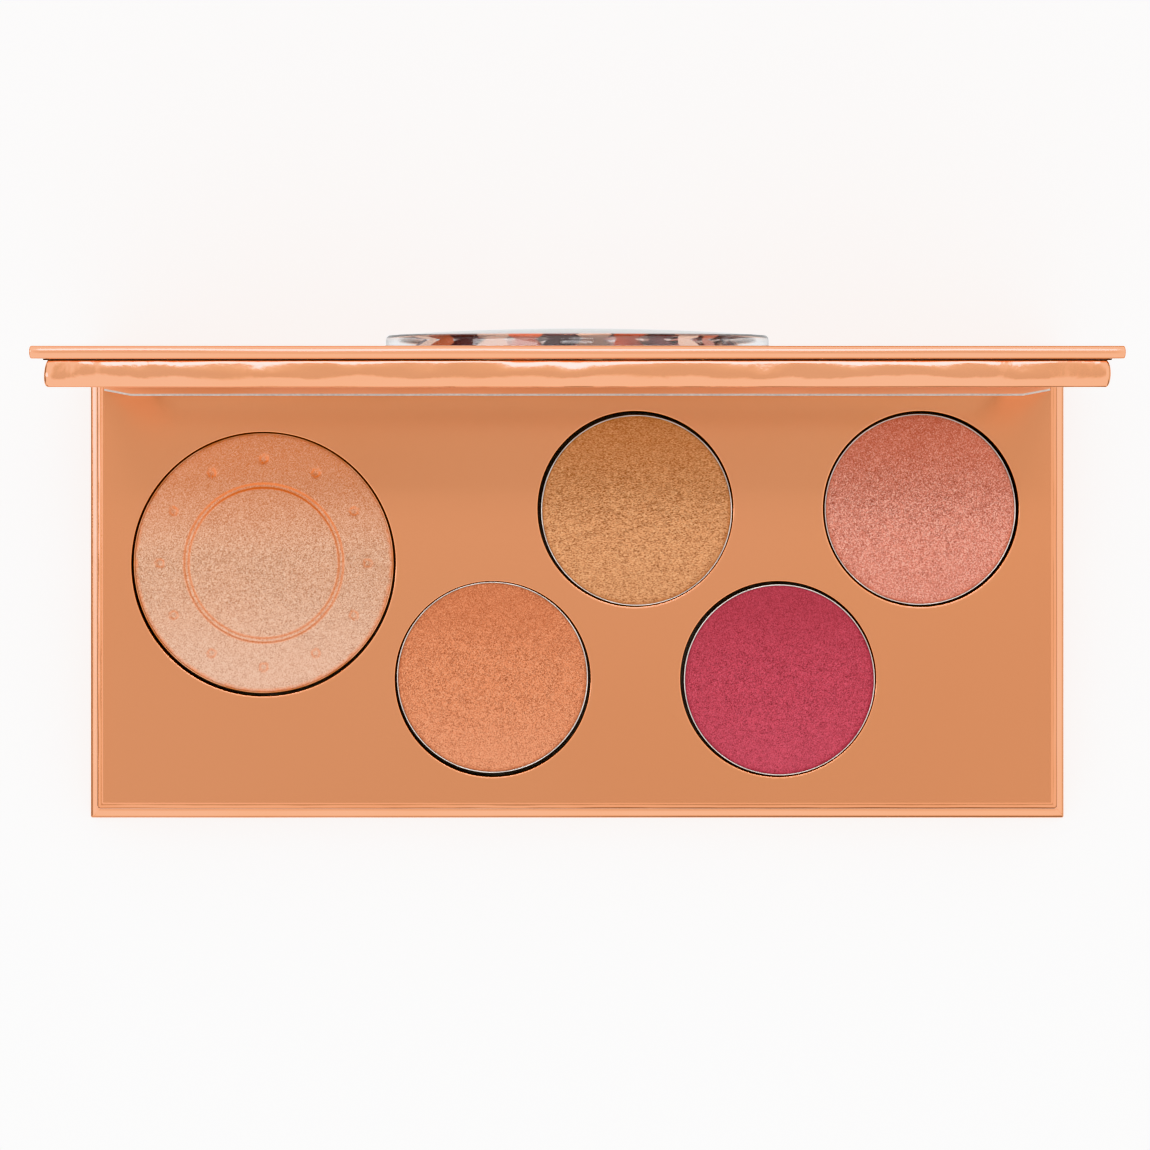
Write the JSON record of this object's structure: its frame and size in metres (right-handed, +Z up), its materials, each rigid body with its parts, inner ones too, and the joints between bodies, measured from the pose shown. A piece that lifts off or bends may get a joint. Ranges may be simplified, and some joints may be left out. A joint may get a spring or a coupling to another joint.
{
  "type": "makeup palette",
  "caption": "Book-style paperboard makeup palette: foil-wrapped base with round pans of pressed powder, mirrored lid on a paper hinge, and a clear window of loose flakes in the lid.",
  "frame": {"origin": "middle of the base's underside, on the surface the palette lies on", "axes": "+X along the long side to the right, +Y towards the spine, +Z up"},
  "size_m": [0.1362, 0.0665, 0.0795],
  "materials": {
    "foil_paper": "gloss",
    "foil_card": "satin",
    "greyboard": "matte",
    "black_board": "matte",
    "glue_film": "satin",
    "pan_metal": "satin",
    "magnet_steel": "satin",
    "highlighter_powder": "satin",
    "peach_powder": "matte",
    "gold_powder": "satin",
    "berry_powder": "matte",
    "rose_powder": "satin",
    "mirror_glass": "polished",
    "clear_plastic": "polished",
    "confetti_copper": "gloss",
    "confetti_garnet": "gloss",
    "confetti_pearl": "gloss"
  },
  "bodies": {
    "base": {"base_board": "greyboard", "base_wrap": "foil_paper", "spine_board": "greyboard", "spine_wrap": "foil_paper", "lower_fold": "foil_paper", "hinge_fold_lower": "foil_paper", "tray_glue_sheet": "glue_film", "tray_floor_board": "greyboard", "well_board": "black_board", "tray_wrap": "foil_paper", "tray_magnets": "magnet_steel", "face_card": "foil_card", "hinge_liner": "foil_card", "highlighter_pan": "pan_metal", "highlighter_powder": "highlighter_powder", "peach_pan": "pan_metal", "peach_powder": "peach_powder", "gold_pan": "pan_metal", "gold_powder": "gold_powder", "berry_pan": "pan_metal", "berry_powder": "berry_powder", "rose_pan": "pan_metal", "rose_powder": "rose_powder", "pan_glue_pads": "glue_film"},
    "lid": {"lid_board": "greyboard", "lid_wrap": "foil_paper", "hinge_fold_upper": "foil_paper", "lid_liner": "foil_card", "mirror": "mirror_glass", "mirror_tape": "glue_film", "panel_back_board": "greyboard", "panel_frame_board": "greyboard", "panel_wrap": "foil_paper", "lid_strike_plates": "magnet_steel", "lid_tape": "glue_film", "shaker_window": "clear_plastic", "window_glue_ring": "glue_film", "shaker_backing": "foil_card"},
    "flakes": {"confetti_copper": "confetti_copper", "confetti_garnet": "confetti_garnet", "confetti_pearl": "confetti_pearl"}
  },
  "joints": [
    {"name": "lid_hinge", "type": "hinge", "parent": "base", "child": "lid", "pos_m": [0, 0.03248, 0.0145], "axis": [-1, 0, 0], "range_deg": [-87.6, 92.4]},
    {"name": "flake_tumble", "type": "hinge", "parent": "lid", "child": "flakes", "pos_m": [0, 0.03118, 0.04801], "axis": [0, 0.9991, 0.0419], "continuous": true}
  ]
}
